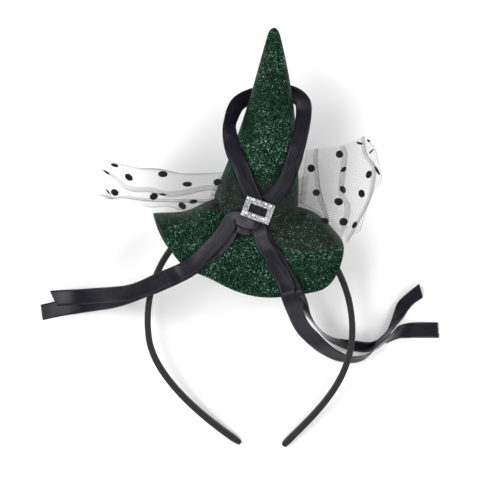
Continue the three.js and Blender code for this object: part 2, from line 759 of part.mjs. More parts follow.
const model = new THREE.Group();
model.add(hoop, hat, buckle(), ribbonKnot(), ribbonLoop(), ...leftTails(), ...rightTails());
model.add(...tulleWings(), tulleBand(), tulleSwag());

// The origin is under the middle of the object, on the table.
const box = new THREE.Box3().setFromObject(model, true);
const middle = box.getCenter(new THREE.Vector3());
model.position.set(-middle.x, -middle.y, -box.min.z);

export default model;
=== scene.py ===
# %% [markdown]
# # A miniature witch hat on a headband
# The hat lies on its back on a pale table: a glitter cone on a folded felt brim, satin ribbon tied round
# it under a stone-set buckle, puffs of dotted tulle at both sides, and a fabric-wrapped headband below.
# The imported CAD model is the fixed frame. Every soft piece is made again here, in the place of its CAD solid.

# %% Load the frame
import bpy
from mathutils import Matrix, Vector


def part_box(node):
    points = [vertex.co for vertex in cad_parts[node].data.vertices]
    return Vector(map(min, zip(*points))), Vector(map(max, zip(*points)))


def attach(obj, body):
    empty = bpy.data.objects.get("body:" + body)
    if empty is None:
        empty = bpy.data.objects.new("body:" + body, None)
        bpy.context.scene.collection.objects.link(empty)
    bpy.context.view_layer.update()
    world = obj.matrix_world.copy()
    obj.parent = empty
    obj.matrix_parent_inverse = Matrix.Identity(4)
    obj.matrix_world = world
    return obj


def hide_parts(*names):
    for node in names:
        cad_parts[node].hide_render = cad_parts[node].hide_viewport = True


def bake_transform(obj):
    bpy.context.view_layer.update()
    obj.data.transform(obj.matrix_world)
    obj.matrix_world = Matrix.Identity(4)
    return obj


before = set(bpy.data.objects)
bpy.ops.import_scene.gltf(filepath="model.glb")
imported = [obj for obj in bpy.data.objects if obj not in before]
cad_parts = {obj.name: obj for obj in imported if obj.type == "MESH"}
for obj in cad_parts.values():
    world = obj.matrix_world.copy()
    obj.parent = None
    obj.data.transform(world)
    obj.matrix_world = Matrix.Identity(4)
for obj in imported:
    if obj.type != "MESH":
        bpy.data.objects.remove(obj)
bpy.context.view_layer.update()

# %% Tools of the workshop
import math
import random

import bmesh
import bpy
from mathutils import Matrix, Vector, noise
from mathutils.bvhtree import BVHTree

ROOT = "hat_and_crown"
chance = random.Random(7)


def mm(x, y, z=0.0):
    return Vector((x, y, z)) / 1000


# %% [markdown]
# ## Camera, floor and light
# The camera and the lights are set first, so that every later step can be looked at. A long lens from
# far above shows the hat almost without perspective, as a product picture does. Satin and stones live
# from what they mirror, so the light is three soft boxes in a dim white room and not one even sky.

# %% The camera looks straight down
VIEW_CENTRE = mm(6.9, -6.35, 40)
VIEW_WIDTH = 0.317
CAMERA_DISTANCE = 2.5

lens = bpy.data.cameras.new("long_lens")
lens.sensor_width = 36
lens.lens = lens.sensor_width * CAMERA_DISTANCE / VIEW_WIDTH
lens.clip_end = 20
camera = bpy.data.objects.new("camera", lens)
camera.location = VIEW_CENTRE + Vector((0, 0, CAMERA_DISTANCE))
bpy.context.scene.collection.objects.link(camera)
bpy.context.scene.camera = camera
bpy.context.scene.view_settings.view_transform = "Standard"
print("focal length", round(lens.lens, 1), "mm")


# %% Soft boxes and a dim room
def soft_box(name, place, aim, size, power):
    light = bpy.data.lights.new(name, "AREA")
    light.shape = "RECTANGLE"
    light.size, light.size_y = size
    light.energy = power
    lamp = bpy.data.objects.new(name, light)
    lamp.location = place
    lamp.rotation_euler = (Vector(aim) - Vector(place)).to_track_quat("-Z", "Y").to_euler()
    bpy.context.scene.collection.objects.link(lamp)


soft_box("key_box", (-0.75, 0.1, 1.25), (0, 0, 0.03), (0.9, 0.9), 17)
soft_box("fill_box", (0.8, 0.55, 1.2), (0, 0, 0.03), (0.7, 0.7), 9)
soft_box("front_box", (0.1, -1.0, 1.1), (0, 0, 0.03), (1.1, 0.6), 11)

room = bpy.data.worlds.new("pale_room")
room.use_nodes = True
room.node_tree.nodes["Background"].inputs["Color"].default_value = (1, 1, 1, 1)
room.node_tree.nodes["Background"].inputs["Strength"].default_value = 0.3
bpy.context.scene.world = room


# %% [markdown]
# ## Shader helpers
# A material is a small graph of nodes. These helpers add a node, set its plain numbers, and connect its
# inputs, so that each finish below reads from the pattern to the shader.

# %% Nodes and groups
def node(tree, kind, settings=None, **inputs):
    made = tree.nodes.new("ShaderNode" + kind)
    for name, value in (settings or {}).items():
        setattr(made, name, value)
    for name, value in inputs.items():
        socket = made.inputs[int(name[1:])] if name[0] == "i" and name[1:].isdigit() else made.inputs[name]
        if isinstance(value, bpy.types.NodeSocket):
            tree.links.new(value, socket)
        else:
            socket.default_value = value
    return made


def pattern_group(name, inputs, outputs):
    """An empty node group: inputs and outputs are (name, socket kind, default)."""
    tree = bpy.data.node_groups.new(name, "ShaderNodeTree")
    for socket_name, kind, default in inputs:
        socket = tree.interface.new_socket(socket_name, in_out="INPUT", socket_type="NodeSocket" + kind)
        if default is not None:
            socket.default_value = default
    for socket_name, kind in outputs:
        tree.interface.new_socket(socket_name, in_out="OUTPUT", socket_type="NodeSocket" + kind)
    return tree, tree.nodes.new("NodeGroupInput"), tree.nodes.new("NodeGroupOutput")


def use_group(tree, group, **inputs):
    placed = tree.nodes.new("ShaderNodeGroup")
    placed.node_tree = group
    for name, value in inputs.items():
        socket = placed.inputs[name.replace("_", " ")]
        if isinstance(value, bpy.types.NodeSocket):
            tree.links.new(value, socket)
        else:
            socket.default_value = value
    return placed


def ramp(tree, value, *stops, blend="LINEAR"):
    made = node(tree, "ValToRGB", i0=value)
    made.color_ramp.interpolation = blend
    colors = made.color_ramp.elements
    while len(colors) < len(stops):
        colors.new(0.5)
    for element, (place, color) in zip(colors, stops):
        element.position = place
        element.color = (*color, 1) if len(color) == 3 else color
    return made.outputs["Color"]


def material(name, **shader):
    """A new material with its Principled BSDF; the plain numbers go straight on its sockets."""
    made = bpy.data.materials.new(name)
    made.use_nodes = True
    bsdf = made.node_tree.nodes["Principled BSDF"]
    for socket, value in shader.items():
        bsdf.inputs[socket.replace("_", " ")].default_value = value
    return made, made.node_tree, bsdf


def math_node(tree, operation, first, second=0.0):
    return node(tree, "Math", {"operation": operation}, i0=first, i1=second).outputs[0]


# %% [markdown]
# ## Patterns that several finishes share
# Cloth shows two scales at once: the crossing threads and a slow unevenness from handling. One group
# makes the threads from the piece's own UV map, which is laid out in metres; another makes the
# unevenness from Object coordinates. Both put out only values.

# %% The woven_threads group
woven, enter, leave = pattern_group(
    "woven_threads",
    [("Cloth", "Vector", None), ("Threads per metre", "Float", 3000.0), ("Slant", "Float", 0.0)],
    [("Height", "Float"), ("Gaps", "Float")],
)
turned = node(woven, "VectorRotate", {"rotation_type": "Z_AXIS"}, Vector=enter.outputs["Cloth"],
              Angle=enter.outputs["Slant"])
scaled = node(woven, "VectorMath", {"operation": "SCALE"}, i0=turned.outputs[0],
              Scale=enter.outputs["Threads per metre"])
split = node(woven, "SeparateXYZ", Vector=scaled.outputs[0])
warp = math_node(woven, "PINGPONG", split.outputs["X"], 0.5)
weft = math_node(woven, "PINGPONG", split.outputs["Y"], 0.5)
woven.links.new(math_node(woven, "ADD", warp, weft), leave.inputs["Height"])
woven.links.new(math_node(woven, "MINIMUM", warp, weft), leave.inputs["Gaps"])

# %% The handled_cloth group
handled, enter, leave = pattern_group(
    "handled_cloth",
    [("Size", "Float", 60.0), ("Fine size", "Float", 900.0)],
    [("Slow", "Float"), ("Fine", "Float")],
)
place = node(handled, "TexCoord")
slow = node(handled, "TexNoise", Vector=place.outputs["Object"], Scale=enter.outputs["Size"], Detail=2.0)
fine = node(handled, "TexNoise", Vector=place.outputs["Object"], Scale=enter.outputs["Fine size"], Detail=3.0)
handled.links.new(slow.outputs[0], leave.inputs["Slow"])
handled.links.new(fine.outputs[0], leave.inputs["Fine"])

# %% [markdown]
# ## Glitter fabric
# Glitter cloth is a dark glued ground with thousands of tiny foil flakes that face every way. A Voronoi
# pattern gives each flake its own cell and a random number; the number picks a dark, middle or bright
# green and, for a few flakes, near white. The dark and middle greens are the flakes' own random tone; the
# bright greens are partly painted reflection, and the near-white flakes are painted glints, as if they
# just caught the light. The flakes also stand at different heights, so the surface sparkles when the
# view turns.

# %% The glitter material
glitter, tree, bsdf = material(
    "green_glitter_fabric", Roughness=0.5, Metallic=0.0, Specular_IOR_Level=0.04,
)
place = node(tree, "TexCoord")
flakes = node(tree, "TexVoronoi", {"feature": "F1"}, Vector=place.outputs["Object"], Scale=3100.0)
number = node(tree, "SeparateColor", Color=flakes.outputs["Color"])
cloth = use_group(tree, handled, Size=38.0, Fine_size=420.0)
lifted = math_node(tree, "MULTIPLY_ADD", cloth.outputs["Slow"], 0.22)
lifted.node.inputs[2].default_value = -0.11
clumped = math_node(tree, "MULTIPLY_ADD", cloth.outputs["Fine"], 0.3)
clumped.node.inputs[2].default_value = -0.17
bright = math_node(tree, "ADD", math_node(tree, "ADD", number.outputs["Red"], lifted), clumped)
# flake tone and painted glints: the lower stops are the flakes' own random tone, the bright green stops are
# partly painted reflection, and the near-white top stop is painted glints
flake_tone_and_glints = ramp(
    tree, bright,
    (0.0, (0.001, 0.002, 0.0015)), (0.45, (0.002, 0.006, 0.004)), (0.66, (0.005, 0.019, 0.011)),
    (0.82, (0.012, 0.048, 0.027)), (0.93, (0.04, 0.13, 0.075)), (0.99, (0.2, 0.42, 0.29)),
    (1.0, (0.5, 0.7, 0.6)),
)
tree.links.new(flake_tone_and_glints, bsdf.inputs["Base Color"])
rough = math_node(tree, "MULTIPLY_ADD", number.outputs["Green"], 0.4)
rough.node.inputs[2].default_value = 0.25
tree.links.new(rough, bsdf.inputs["Roughness"])
bump = node(tree, "Bump", Height=number.outputs["Blue"], Strength=0.55, Distance=0.0003)
tree.links.new(bump.outputs[0], bsdf.inputs["Normal"])

# %% [markdown]
# ## Felt
# Felt is pressed loose fibre: no shine, a soft brown-black, and a fuzzy surface. Two noises make the
# fibre clumps, and a little sheen on the shader's own socket gives the pale rim that fuzz has.

# %% The felt material
felt, tree, bsdf = material("black_felt", Roughness=0.95, Sheen_Weight=0.25, Sheen_Roughness=0.6,
                            Specular_IOR_Level=0.2)
cloth = use_group(tree, handled, Size=90.0, Fine_size=1600.0)
felt_colors = ramp(tree, cloth.outputs["Fine"], (0.3, (0.011, 0.007, 0.007)), (0.7, (0.032, 0.021, 0.02)))
tree.links.new(felt_colors, bsdf.inputs["Base Color"])
bump = node(tree, "Bump", Height=cloth.outputs["Fine"], Strength=0.5, Distance=0.0004)
tree.links.new(bump.outputs[0], bsdf.inputs["Normal"])

# %% [markdown]
# ## Satin ribbon
# Satin floats its threads along the ribbon, which gives one long soft highlight across each bend. The
# shader's anisotropy stretches the highlight; fine lengthwise threads and faint crossways creases come
# from the ribbon's UV map.

# %% The satin material
satin, tree, bsdf = material(
    "black_satin", Roughness=0.3, Specular_IOR_Level=0.2, Anisotropic=0.5, Sheen_Weight=0.01,
    Sheen_Roughness=0.35, Sheen_Tint=(0.8, 0.74, 0.95, 1),
)
cloth_map = node(tree, "UVMap", {"uv_map": "Weave"})
threads = use_group(tree, woven, Cloth=cloth_map.outputs[0], Threads_per_metre=2600.0)
stretched = node(tree, "Mapping", Vector=cloth_map.outputs[0], Scale=(60.0, 1500.0, 1.0))
lengthwise = node(tree, "TexNoise", Vector=stretched.outputs[0], Scale=1.0, Detail=2.0)
creases = node(tree, "Mapping", Vector=cloth_map.outputs[0], Scale=(420.0, 45.0, 1.0))
crosswise = node(tree, "TexNoise", Vector=creases.outputs[0], Scale=1.0, Detail=1.0)
satin_colors = ramp(
    tree, lengthwise.outputs[0], (0.35, (0.006, 0.0052, 0.009)), (0.65, (0.0095, 0.0085, 0.0145)),
)
tree.links.new(satin_colors, bsdf.inputs["Base Color"])
satin_rough = ramp(tree, lengthwise.outputs[0], (0.3, (0.22, 0.22, 0.22)), (0.7, (0.36, 0.36, 0.36)))
tree.links.new(satin_rough, bsdf.inputs["Roughness"])
relief = math_node(tree, "MULTIPLY_ADD", crosswise.outputs[0], 0.9)
tree.links.new(threads.outputs["Height"], relief.node.inputs[2])
bump = node(tree, "Bump", Height=relief, Strength=0.12, Distance=0.0003)
tree.links.new(bump.outputs[0], bsdf.inputs["Normal"])

# %% [markdown]
# ## Net and flocked dots
# Tulle is a net of hair-thin threads about a millimetre apart. It is cheaper as a pattern than as
# thousands of tiny tubes: the material is clear between the threads, through its Alpha. Where the net
# is creased the threads lie on top of each other, so an attribute named crease makes it denser there.

# %% The net material and its denser twin
def tulle_material(name, thread_share, packed):
    made, tree, bsdf = material(name, Roughness=0.7, Base_Color=(0.012, 0.011, 0.012, 1))
    cloth_map = node(tree, "UVMap", {"uv_map": "Weave"})
    net = use_group(tree, woven, Cloth=cloth_map.outputs[0], Threads_per_metre=1050.0, Slant=0.7)
    thread = math_node(tree, "LESS_THAN", net.outputs["Gaps"], thread_share)
    crease = node(tree, "Attribute", {"attribute_name": "crease"})
    packed_here = math_node(tree, "MULTIPLY", crease.outputs["Fac"], packed)
    tree.links.new(math_node(tree, "MAXIMUM", thread, packed_here), bsdf.inputs["Alpha"])
    cloth = use_group(tree, handled, Size=200.0, Fine_size=2400.0)
    bump = node(tree, "Bump", Height=cloth.outputs["Fine"], Strength=0.2, Distance=0.0002)
    tree.links.new(bump.outputs[0], bsdf.inputs["Normal"])
    return made


net_single = tulle_material("tulle_net", 0.034, 0.95)
net_gathered = tulle_material("tulle_net_gathered", 0.07, 0.9)

# %% The flocking material
flock, tree, bsdf = material("flocked_dots", Roughness=1.0, Sheen_Weight=0.15, Specular_IOR_Level=0.1)
cloth = use_group(tree, handled, Size=500.0, Fine_size=5200.0)
flock_colors = ramp(tree, cloth.outputs["Fine"], (0.3, (0.003, 0.003, 0.003)), (0.7, (0.013, 0.012, 0.012)))
tree.links.new(flock_colors, bsdf.inputs["Base Color"])
bump = node(tree, "Bump", Height=cloth.outputs["Fine"], Strength=0.6, Distance=0.0002)
tree.links.new(bump.outputs[0], bsdf.inputs["Normal"])

# %% [markdown]
# ## Band wrap, hidden parts, silver and stones
# The band is wrapped in a fine ribbed fabric. The plastic core and the cone's card hardly ever show, but
# they get a grain of their own so that no piece is a flat colour. The buckle's rim is thin plated metal
# with a little tarnish, and the stones are clear facets over foil, so each one is almost a mirror.

# %% The wrap, plastic and card materials
wrap, tree, bsdf = material("band_wrap_fabric", Roughness=0.75, Sheen_Weight=0.1, Sheen_Roughness=0.4,
                            Specular_IOR_Level=0.35)
cloth_map = node(tree, "UVMap", {"uv_map": "Weave"})
ribs = use_group(tree, woven, Cloth=cloth_map.outputs[0], Threads_per_metre=1500.0, Slant=0.6)
cloth = use_group(tree, handled, Size=120.0, Fine_size=1500.0)
wrap_mix = math_node(tree, "MULTIPLY", ribs.outputs["Height"], cloth.outputs["Fine"])
wrap_colors = ramp(tree, wrap_mix, (0.05, (0.005, 0.004, 0.0045)), (0.5, (0.02, 0.016, 0.017)))
tree.links.new(wrap_colors, bsdf.inputs["Base Color"])
bump = node(tree, "Bump", Height=ribs.outputs["Height"], Strength=0.5, Distance=0.0003)
tree.links.new(bump.outputs[0], bsdf.inputs["Normal"])


def grained(name, dark, light, size, roughness, metallic=0.0):
    made, tree, bsdf = material(name, Metallic=metallic)
    cloth = use_group(tree, handled, Size=size, Fine_size=size * 14)
    tree.links.new(ramp(tree, cloth.outputs["Slow"], (0.3, dark), (0.7, light)), bsdf.inputs["Base Color"])
    low, high = (value and (value,) * 3 for value in roughness)
    tree.links.new(ramp(tree, cloth.outputs["Fine"], (0.3, low), (0.7, high)), bsdf.inputs["Roughness"])
    bump = node(tree, "Bump", Height=cloth.outputs["Fine"], Strength=0.15, Distance=0.0002)
    tree.links.new(bump.outputs[0], bsdf.inputs["Normal"])
    return made


plastic = grained("moulded_plastic", (0.006, 0.006, 0.006), (0.016, 0.016, 0.016), 110.0, (0.35, 0.55))
card = grained("stiff_card", (0.02, 0.018, 0.016), (0.045, 0.04, 0.036), 160.0, (0.8, 0.95))
silver = grained("silver_plate", (0.5, 0.5, 0.5), (0.82, 0.82, 0.81), 260.0, (0.14, 0.34), 1.0)

# %% The stone material
stone, tree, bsdf = material("rhinestone", Metallic=0.75, Roughness=0.08, Coat_Weight=1.0)
place = node(tree, "TexCoord")
shade = node(tree, "TexVoronoi", Vector=place.outputs["Object"], Scale=620.0)
picked = node(tree, "SeparateColor", Color=shade.outputs["Color"])
stone_colors = ramp(tree, picked.outputs["Red"], (0.0, (0.42, 0.43, 0.45)), (0.5, (0.78, 0.8, 0.82)),
                    (1.0, (0.97, 0.98, 1.0)))
tree.links.new(stone_colors, bsdf.inputs["Base Color"])

# %% [markdown]
# ## Making pieces
# Most pieces here are cloth, so one helper makes them: a flat grid with a UV map is laid out, and every
# point is carried to its place along and across the strip. Keeping the UV map in metres keeps the
# weave at its real size on every strip.

# %% From a mesh to a finished piece
def finished(bm, name, finish, body=ROOT, smooth=True):
    mesh = bpy.data.meshes.new(name)
    bm.to_mesh(mesh)
    bm.free()
    made = bpy.data.objects.new(name, mesh)
    bpy.context.scene.collection.objects.link(made)
    mesh.materials.append(finish)
    mesh.shade_smooth() if smooth else mesh.shade_flat()
    if body:
        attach(made, body)
    return made


def cloth_grid(along, across, size, place, joined=False):
    """size is the cloth's (length, width) in metres; place(a, c) takes shares from 0 to 1."""
    bm = bmesh.new()
    weave = bm.loops.layers.uv.new("Weave")
    bmesh.ops.create_grid(bm, x_segments=along, y_segments=across, size=0.5, calc_uvs=True)
    for face in bm.faces:
        for corner in face.loops:
            share = corner.vert.co + Vector((0.5, 0.5, 0))
            corner[weave].uv = (share.x * size[0], share.y * size[1])
    for point in bm.verts:
        point.co = place(point.co.x + 0.5, point.co.y + 0.5)
    if joined:
        bmesh.ops.remove_doubles(bm, verts=bm.verts, dist=1e-6)
    bmesh.ops.recalc_face_normals(bm, faces=bm.faces)
    return bm


def thicken(made, thickness, offset=0.0):
    wall = made.modifiers.new("wall", "SOLIDIFY")
    wall.thickness = thickness
    wall.offset = offset
    return made


def smoothed(made, levels):
    finer = made.modifiers.new("finer", "SUBSURF")
    finer.levels = finer.render_levels = levels
    return made


# %% A smooth route through points
def between(points, share):
    """The point at a share of the way through a list of points, on a smooth curve through them."""
    at = min(max(share, 0.0), 1.0) * (len(points) - 1)
    i = min(int(at), len(points) - 2)
    t = at - i
    a, b, c, d = (points[min(max(k, 0), len(points) - 1)] for k in (i - 1, i, i + 1, i + 2))
    level = 2 * b + (c - a) * t
    level += (2 * a - 5 * b + 4 * c - d) * t * t
    level += (3 * b - a - 3 * c + d) * t ** 3
    return 0.5 * level


def route_length(points, steps=400):
    places = [between(points, k / steps) for k in range(steps + 1)]
    return sum((q - p).length for p, q in zip(places, places[1:]))


# %% [markdown]
# ## Headband
# The hoop is a springy plastic core in a fabric sleeve. Its centreline is an ellipse over the crown and
# one long curve down each leg. The sleeve is one cloth tube a side, from the middle under the hat to
# the tip, instead of the split that the CAD model has there.

# %% The hoop's centreline
HOOP_HALF_WIDTH, HOOP_CROWN_HEIGHT = 0.0652, 0.076
HOOP_PLACE = Matrix.Translation(mm(6.9, -54.828, 23.538)) @ Matrix.Rotation(math.radians(15), 4, "X")
HOOP_PLACE = HOOP_PLACE @ Matrix.Rotation(math.radians(7.5), 4, "Z")
HOOP_NORMAL = Vector((0, -math.sin(math.radians(15)), math.cos(math.radians(15))))
LEGS = {
    "left": dict(side=-1, tip=(16.2, -76.9), shoulder=31, turn=48, run=14, point=0.5),
    "right": dict(side=1, tip=(10.8, -82.1), shoulder=42.2, turn=51, run=34, point=0.85),
}


def hoop_half(side, tip, shoulder, turn, run, point):
    """Points 1 mm apart from the crown's top to the tip, in the frame of the CAD model."""
    over = [Vector((HOOP_HALF_WIDTH * math.sin(a * math.pi / 400),
                    HOOP_CROWN_HEIGHT * math.cos(a * math.pi / 400), 0)) for a in range(200)]
    start, end = Vector((HOOP_HALF_WIDTH, 0, 0)), mm(*tip)
    first = start + mm(0, -shoulder)
    second = end + mm(run * math.sin(math.radians(turn)), run * math.cos(math.radians(turn)))
    down = [start * (1 - t) ** 3 + first * 3 * t * (1 - t) ** 2 + second * 3 * t * t * (1 - t) + end * t ** 3
            for t in (k / 200 for k in range(201))]
    dense = over + down
    lengths = [0.0]
    for p, q in zip(dense, dense[1:]):
        lengths.append(lengths[-1] + (q - p).length)
    even, k = [], 0
    for step in range(int(lengths[-1] * 1000) + 1):
        while lengths[k + 1] < step / 1000:
            k += 1
        share = (step / 1000 - lengths[k]) / (lengths[k + 1] - lengths[k])
        even.append(dense[k].lerp(dense[k + 1], share))
    even.append(dense[-1])
    return [HOOP_PLACE @ Vector((side * p.x, p.y, p.z)) for p in even]


HALVES = {name: hoop_half(**leg) for name, leg in LEGS.items()}
for name, half in HALVES.items():
    print("headband", name, "half", round(route_length(half) * 1000, 1), "mm")

# %% The wrapped sleeves
BAND_THICKNESS, BAND_WIDTH = 0.0038, 0.0066
TIP_LENGTH = 0.0085
WRAP_LAP = 0.00022                  # the cloth's free edge lies over its other edge


def band_point(route, share, around, narrow=1.0):
    """A point on a rounded band section; around runs from 0 to 1 starting on the inner face."""
    place = between(route, share)
    ahead = (between(route, min(share + 0.002, 1)) - between(route, max(share - 0.002, 0))).normalized()
    out = ahead.cross(HOOP_NORMAL) * route_side(route)
    angle = 2 * math.pi * around + math.pi
    soft = lambda value: math.copysign(abs(value) ** 0.62, value)
    lap = WRAP_LAP if 0.18 < around < 0.86 else 0.0
    thick = BAND_THICKNESS / 2 * narrow + lap
    sideways = HOOP_NORMAL * soft(math.sin(angle)) * BAND_WIDTH / 2 * narrow
    return place + out * soft(math.cos(angle)) * thick + sideways


def route_side(route):
    return 1.0 if route[-60].x > route[0].x else -1.0


sleeves = {}
for name, half in HALVES.items():
    route = half[: len(half) - int(TIP_LENGTH * 1000) + 1]
    length = route_length(route)
    bm = cloth_grid(170, 28, (length, 0.018), lambda a, c, r=route: band_point(r, a, c), joined=True)
    sleeves[name] = finished(bm, f"sleeve_{name}", wrap, body=None)
    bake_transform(sleeves[name])
    print("sleeve", name, round(length * 1000, 1), "mm")
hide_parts("headband_sleeve_left", "headband_sleeve_crown")
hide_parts("headband_sleeve_right")

# %% [markdown]
# The sleeve's end is folded over the tip and glued. It is a short closed cap that narrows to the end:
# almost to a point on the left leg, blunt on the right one.

# %% The glued tips
for name, half in HALVES.items():
    route = half[len(half) - int(TIP_LENGTH * 1000) - 1:]
    point = LEGS[name]["point"]

    def tip_place(a, c, r=half, blunt=point):
        start = 1 - TIP_LENGTH / (len(r) * 0.001)
        share = start + (1 - start) * min(a * 1.04, 1)
        closing = math.sqrt(max(1 - max((a - 0.8) / 0.2, 0) ** 2, 0.0))
        return band_point(r, share, c, (1.04 - (1.04 - blunt) * a ** 2) * closing)

    bm = cloth_grid(22, 28, (TIP_LENGTH, 0.018), tip_place, joined=True)
    ring = [e for e in bm.edges if e.is_boundary]
    bmesh.ops.holes_fill(bm, edges=ring, sides=0)
    tip = finished(bm, f"tip_{name}", wrap, body=f"{name}_leg")
    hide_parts(f"headband_tip_{name}")

for name in ("crown", "left", "right"):
    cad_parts[f"headband_core_{name}"].data.materials.clear()
    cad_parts[f"headband_core_{name}"].data.materials.append(plastic)


# %% [markdown]
# ## Brim, cone and patch
# The CAD solids already have the folded shapes, but with coarse facets. A copy is merged, its triangles
# are joined back to quads, and a subdivision surface rounds it. The patch keeps its flat facets.

# %% A soft copy of a CAD solid
def soft_copy(cad_name, name, finish, levels):
    bm = bmesh.new()
    bm.from_mesh(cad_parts[cad_name].data)
    bmesh.ops.remove_doubles(bm, verts=bm.verts, dist=1e-6)
    bmesh.ops.join_triangles(bm, faces=bm.faces, angle_face_threshold=3.14, angle_shape_threshold=3.14)
    print(name, len(bm.faces), "faces before smoothing")
    made = finished(bm, name, finish)
    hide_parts(cad_name)
    return smoothed(made, levels)


brim = soft_copy("brim_glitter_fabric", "brim_glitter", glitter, 2)
lining = soft_copy("brim_felt_lining", "brim_felt", felt, 2)
cone = soft_copy("cone_glitter_fabric", "cone_glitter", glitter, 2)
patch = soft_copy("felt_patch", "headband_patch", felt, 0)
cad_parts["cone_stiffener"].data.materials.clear()
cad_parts["cone_stiffener"].data.materials.append(card)

# %% [markdown]
# ## Satin ribbon
# Each ribbon follows its CAD strip. The strip's narrow sides are deleted, which leaves its two broad
# faces; the outline of one of them is a ladder whose rungs are the ribbon's cross lines. A fine grid is
# laid along that ladder with a slight bow across it and a soft ripple.

# %% The ladder of a CAD ribbon
BUCKLE_CENTRE = (Vector(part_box("buckle_frame")[0]) + Vector(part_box("buckle_frame")[1])) / 2


def ladder(cad_name):
    bm = bmesh.new()
    bm.from_mesh(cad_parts[cad_name].data)
    bmesh.ops.remove_doubles(bm, verts=bm.verts, dist=1e-6)
    narrow = [f for f in bm.faces if min(e.calc_length() for e in f.edges) < 0.0006]
    bmesh.ops.delete(bm, geom=narrow, context="FACES")
    rim = next(v for v in bm.verts if v.is_boundary)
    loop, edge = [rim], next(e for e in rim.link_edges if e.is_boundary)
    while True:
        here = edge.other_vert(loop[-1])
        if here is loop[0]:
            break
        loop.append(here)
        edge = next(e for e in here.link_edges if e.is_boundary and e is not edge)
    places = [v.co.copy() for v in loop]
    bm.free()
    count = len(places)
    turn = [(places[i] - places[i - 1]).angle(places[(i + 1) % count] - places[i]) for i in range(count)]
    half = count // 2
    corner = max(range(half), key=lambda i: sum(turn[(i + k) % count] for k in (0, 1, half, half + 1)))
    ordered = places[corner + 1:] + places[:corner + 1]
    rungs = [(ordered[i], ordered[count - 1 - i]) for i in range(half)]
    if (rungs[0][0] - BUCKLE_CENTRE).length > (rungs[-1][0] - BUCKLE_CENTRE).length:
        rungs.reverse()
    return rungs


# %% Laying a ribbon
RIBBON_WIDTH, RIBBON_THICKNESS = 0.010, 0.00032
ribbons, ribbon_ends = {}, {}


def lay_ribbon(name, cad_name, bow=0.0004, ripple=0.00025, slant=0.0):
    rungs = ladder(cad_name)
    middles = [(a + b) / 2 for a, b in rungs]
    sides = [(b - a).normalized() for a, b in rungs]
    length = route_length(middles)
    seed = Vector((len(name) * 1.7, middles[0].x * 90, 0))

    def place(a, c):
        across = between(sides, a).normalized()
        ahead = (between(middles, min(a + 0.01, 1)) - between(middles, max(a - 0.01, 0))).normalized()
        face = ahead.cross(across).normalized()
        side = c - 0.5
        lift = bow * (0.5 - 2 * side * side)
        lift += ripple * noise.noise(seed + Vector((a * length * 90, side * 1.6, 0)))
        cut = slant * side * max(a - 0.9, 0) * 10
        return between(middles, a) + across * side * RIBBON_WIDTH + face * lift + ahead * cut

    bm = cloth_grid(int(length * 900), 8, (length, RIBBON_WIDTH), place)
    made = finished(bm, name, satin)
    thicken(made, RIBBON_THICKNESS)
    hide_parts(cad_name)
    ribbons[name] = made
    ends = [place(1, c / 10) for c in range(11)]
    ribbon_ends[name] = (ends, (place(1, 0.5) - place(0.97, 0.5)).normalized())
    print(name, "length", round(length * 1000, 1), "mm")
    return made, length


for name, cad_name, slant in (
    ("bow_loop", "ribbon_loop", 0.0),
    ("tail_left_lower", "ribbon_tail_left_lower", 0.0008),
    ("tail_left_upper", "ribbon_tail_left_upper", -0.004),
    ("tail_right_front", "ribbon_tail_right_front", 0.0006),
    ("tail_right_back", "ribbon_tail_right_back", 0.003),
    ("bow_knot", "ribbon_knot", 0.0),
):
    lay_ribbon(name, cad_name, slant=slant)[1]

# %% [markdown]
# A cut satin ribbon frays: the crossways threads slip off and the lengthwise ones stand out as pale
# hairs. Each cut end gets a fringe of thin tapering threads that start along the cut and wander off.

# %% Frayed threads
thread_finish = grained("loose_threads", (0.16, 0.15, 0.16), (0.5, 0.48, 0.5), 500.0, (0.5, 0.7))


def fringe(name, count, longest):
    ends, ahead = ribbon_ends[name]
    drawn = bpy.data.curves.new(f"fray_{name}", "CURVE")
    drawn.dimensions = "3D"
    drawn.bevel_depth = 0.00007
    drawn.bevel_resolution = 0
    drawn.resolution_u = 3
    across = (ends[-1] - ends[0]).normalized()
    for k in range(count):
        root = ends[0].lerp(ends[-1], min(max((k + chance.random()) / count, 0), 1)) - ahead * 0.0006
        spread = across * chance.uniform(-0.7, 0.7)
        rise = Vector((0, 0, chance.uniform(-0.05, 0.4)))
        reach = longest * (0.25 + 0.75 * chance.random() ** 2)
        spline = drawn.splines.new("BEZIER")
        spline.bezier_points.add(2)
        for i, point in enumerate(spline.bezier_points):
            t = i / 2
            point.co = root + (ahead + spread * t + rise * t * (1 - t)) * reach * t
            point.co.z = max(point.co.z, 0.0003)
            point.handle_left_type = point.handle_right_type = "AUTO"
            point.radius = 1 - 0.6 * t
    sketch = bpy.data.objects.new("sketch", drawn)
    bpy.context.scene.collection.objects.link(sketch)
    bpy.context.view_layer.update()
    bm = bmesh.new()
    bm.from_mesh(sketch.to_mesh())
    bpy.data.objects.remove(sketch)
    bmesh.ops.holes_fill(bm, edges=[e for e in bm.edges if e.is_boundary], sides=0)
    return finished(bm, f"fray_{name}", thread_finish)


frays = {
    "tail_left_lower": fringe("tail_left_lower", 16, 0.004),
    "tail_left_upper": fringe("tail_left_upper", 10, 0.0025),
    "tail_right_front": fringe("tail_right_front", 20, 0.0045),
    "tail_right_back": fringe("tail_right_back", 12, 0.006),
}

# %% [markdown]
# ## Tulle
# The tulle is one gathered strip that is pinched under the ribbon and puffs out at both sides. Each
# puff is a net sheet with pleats: guide lines run along it, from one edge to the other, and every
# second guide is a fold line where the net turns back under itself. Along a fold the net is seen edge
# on and looks like a dark thread, so the crease attribute is painted there.

